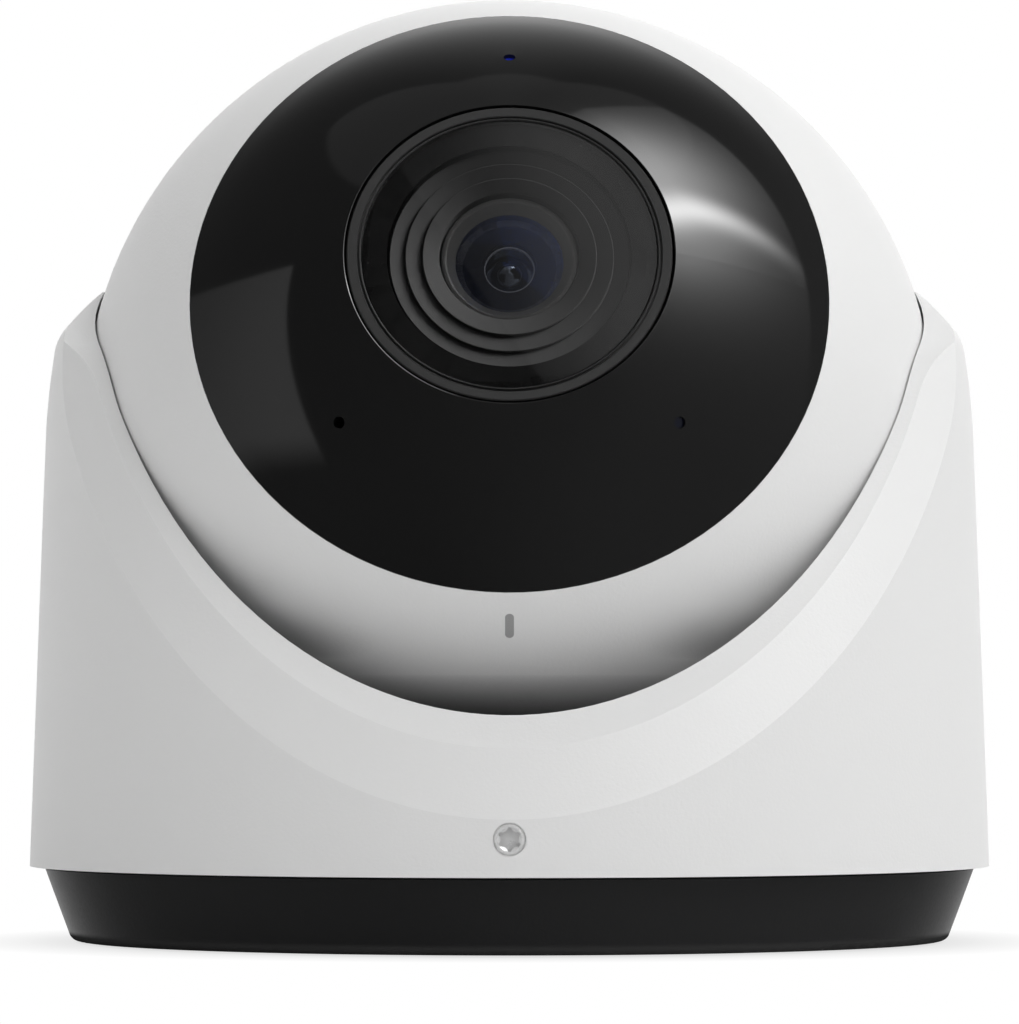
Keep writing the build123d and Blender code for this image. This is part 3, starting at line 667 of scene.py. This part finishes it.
# %% [markdown]
# ## Lamps
# Large soft lamps light the camera from all sides, two of them from the front right. Their
# strengths were found by lighting the model with one lamp at a time and solving for the mix
# that gives the tones of the photograph. They are kept out of the mirror-like surfaces, because a
# photographer hides the lamps and shows cards instead. One small lamp skims the rings round
# the lens and draws their shadows; light linking keeps it off everything else.

# %% Lamps
def soft_lamp(name, turn, height, radiance, side=0.8):
    """A square lamp a metre away, at degrees of turn to the right and of height."""
    print(name, "at", turn, "and", height, "degrees")
    light = bpy.data.lights.new(name, "AREA")
    light.shape = "SQUARE"
    light.size = side
    light.energy = radiance * math.pi * side * side
    turn, height = math.radians(turn), math.radians(height)
    level = math.cos(height)
    out = Vector((math.sin(turn) * level, -math.cos(turn) * level, math.sin(height)))
    lamp = add_object(name, light)
    lamp.location = ball_middle + out
    lamp.rotation_euler = (-out).to_track_quat("-Z", "Y").to_euler()
    lamp.visible_camera = False
    lamp.visible_glossy = False
    return lamp


for name, turn, height, radiance in (
    ("key_low", 45, 30, 1.50),
    ("key_high", 45, 45, 1.31),
    ("right", 90, 45, 1.48),
    ("left_low", -45, 12, 1.44),
    ("back_left", -135, 45, 1.64),
    ("back_left_low", -135, 12, 0.94),
    ("back_right", 135, 65, 1.11),
    ("back_right_low", 135, 12, 0.72),
):
    soft_lamp(name, turn, height, radiance)

rings = bpy.data.collections.new("lens_rings")
rings.objects.link(nodes["lens_baffle"])
accent = soft_lamp("lens_accent", 85, 43, 800.0, side=0.3)
accent.light_linking.receiver_collection = rings

# %% [markdown]
# ## Mirror cards
# The polished face shows what stands round it. The world paints that in degrees: `turn` is 0
# at the front and grows to the right, `height` is 0 at the horizon. Soft steps draw the edges,
# and two more curves the glow: a bell and a slow decay.

# %% Two curves
def hump(pen, value, width):
    """1 where the value is 0, falling off like a bell."""
    share = value / width
    return pen.maths("EXPONENT", -1.0 * share * share)


def decay(pen, value, length):
    """1 up to 0, then falling to a third over each length."""
    return pen.maths("EXPONENT", pen.maths("MAXIMUM", value, 0.0) / -length)


print("curves ready")

# %% [markdown]
# ## Softbox
# A tall softbox stands on the right. Its right edge leans and its top is rounded. The cloth is
# brightest in its middle, a hot strip sags across it, and some light spills out below.

# %% Softbox
strip_turn, strip_height = 64.0, 50.5
strip_sag = 0.0158
cloth_turn, cloth_height = 68.0, 59.0
spill_height = 38.0


def softbox_shape(pen, turn, height):
    """1 inside the outline of the softbox."""
    right_edge = 81.5 + 0.6 * height + 0.0026 * height * height
    past = pen.maths("MAXIMUM", turn - 100.0, 0.0)
    top_edge = 81.0 - 0.03 * past * past
    inside = rise(pen, right_edge - turn, -0.7, 0.7) * rise(pen, top_edge - height, -0.8, 0.8)
    return inside * rise(pen, turn, 20.0, 34.0)


def softbox(pen, turn, height):
    """The glow of the softbox: its cloth, the hot strip and what spills below."""
    past = turn - strip_turn
    from_strip = height - strip_height + strip_sag * past * past
    strip = 11.0 * hump(pen, from_strip, 4.2) * rise(pen, turn, 103.0, 75.0)
    cloth = 7.2 * hump(pen, turn - cloth_turn, 31.5) * hump(pen, height - cloth_height, 18.3)
    spill = 1.6 * decay(pen, spill_height - height, 10.0) * hump(pen, past, 36.0)
    spill = spill * rise(pen, from_strip, 2.0, -2.0)
    return softbox_shape(pen, turn, height) * (cloth + strip + spill)


print("hot strip at", strip_turn, "and", strip_height, "degrees")

# %% [markdown]
# ## Cards and room
# A pale card stands on the left, and one more card over the photographer covers half of the
# window. The white backdrop shines in from behind the object, under a dim ceiling. What is
# left of the room is nearly dark.

# %% Cards and room
card_turn, card_height = -1.277, 49.541


def left_card(pen, turn, height):
    """A pale card on the left. Its top and its near side lean."""
    top = rise(pen, height - 63.4 - 0.394 * turn, 0.6, -0.6)
    side = rise(pen, turn + 72.0 - 0.486 * (35.0 - height), 0.6, -0.6)
    glow = 0.14 + 0.40 * rise(pen, turn, -112.0, -58.0)
    return glow * top * side * rise(pen, height, -12.0, -2.0)


def front_card(pen, turn, height):
    """A dim card over the photographer, whose slanting edge crosses the window."""
    from_edge = 1.588 * (turn - card_turn) + 1.616 * (height - card_height)
    sides = rise(pen, turn, -30.0, -20.0) * rise(pen, turn, 40.0, 25.0)
    above_table = rise(pen, height, 20.0, 28.0)
    glow = 0.05 + 0.27 * rise(pen, from_edge + 1.2 * turn, -0.5, 4.8)
    return glow * rise(pen, from_edge, -0.04, 0.04) * sides * above_table


def dim_room(pen, turn, height):
    """The room behind the photographer: lighter on the right, dark just over the lens."""
    right = rise(pen, turn, -35.0, 45.0) * rise(pen, turn, 150.0, 80.0)
    dark_patch = hump(pen, turn, 14.0) * hump(pen, height - 49.0, 12.0)
    return (0.09 + 0.11 * right) * (1.0 - 0.92 * dark_patch)


def mirror_cards(pen, turn, height):
    """All that a polished surface can show, as one brightness."""
    behind = 180.0 - pen.maths("ABSOLUTE", turn)
    backdrop = 1.4 * hump(pen, behind, 27.0) * decay(pen, height - 38.0, 12.0)
    ceiling_edge = 73.0 - 17.0 * rise(pen, behind, 25.0, 65.0)
    ceiling = 0.13 * rise(pen, height - ceiling_edge, -0.8, 0.8)
    cards = softbox(pen, turn, height) + left_card(pen, turn, height)
    cards = cards + front_card(pen, turn, height)
    return dim_room(pen, turn, height) + backdrop + ceiling + cards


print("front card's edge passes", card_turn, "and", card_height, "degrees")

# %% [markdown]
# ## World
# Only mirrored rays meet the cards. The eye of the camera sees the backdrop alone, in plain
# white, and the lamps do all the lighting.

# %% World
def studio_world():
    """White for the eye of the camera, the cards for what is mirrored, black for the rest."""
    world = bpy.data.worlds.new("studio")
    bpy.context.scene.world = world
    world.use_nodes = True
    pen = Signal(world.node_tree)
    way = pen.node("ShaderNodeTexCoord", {}, {}, "Generated")
    x = pen.node("ShaderNodeSeparateXYZ", {}, {"Vector": way}, "X")
    degree = 180.0 / math.pi
    turn = pen.maths("ARCTAN2", x, -1.0 * x.beside("Y")) * degree
    height = pen.maths("ARCSINE", x.beside("Z")) * degree
    camera_ray = pen.node("ShaderNodeLightPath", {}, {}, "Is Camera Ray")
    mirrored = camera_ray.beside("Is Glossy Ray") * mirror_cards(pen, turn, height)
    background = world.node_tree.nodes["Background"]
    background.inputs["Color"].default_value = (1.0, 1.0, 1.0, 1.0)
    pen.feed(background.inputs["Strength"], camera_ray + mirrored)
    print("world painted with", len(world.node_tree.nodes), "nodes")


studio_world()

# %% [markdown]
# ## Floor
# The floor is white card. To the eye of the camera it is exactly as white as the backdrop, and
# keeps only the soft shadow where the foot stands on it; an Ambient Occlusion node finds that.

# %% Floor
floor_reach = 4.0
floor_drop = 0.0002
shadow_reach = 0.015


def studio_floor():
    """A wide white card just under the foot."""
    signs = ((-1, -1), (1, -1), (1, 1), (-1, 1))
    corners = [(x * floor_reach, y * floor_reach, 0.0) for x, y in signs]
    mesh = bpy.data.meshes.new("floor")
    mesh.from_pydata(corners, [], [(0, 1, 2, 3)])
    floor = add_object("floor", mesh)
    floor.location.z = -floor_drop
    floor.visible_glossy = False
    finish, pen, surface = new_finish("floor_card")
    pen.tree.nodes.remove(surface)
    open_share = pen.node("ShaderNodeAmbientOcclusion", {}, {"Distance": shadow_reach}, "AO")
    shade = mix_colour(pen, open_share, 0.72, 1.0)
    camera_ray = pen.node("ShaderNodeLightPath", {}, {}, "Is Camera Ray")
    card = pen.node("ShaderNodeBsdfDiffuse", {}, {"Color": 0.92})
    glow = pen.node("ShaderNodeEmission", {}, {"Color": shade, "Strength": 1.0})
    both = pen.node("ShaderNodeMixShader", {}, {0: camera_ray, 1: card, 2: glow})
    show(pen, both)
    mesh.materials.append(finish)


studio_floor()
print("floor laid")
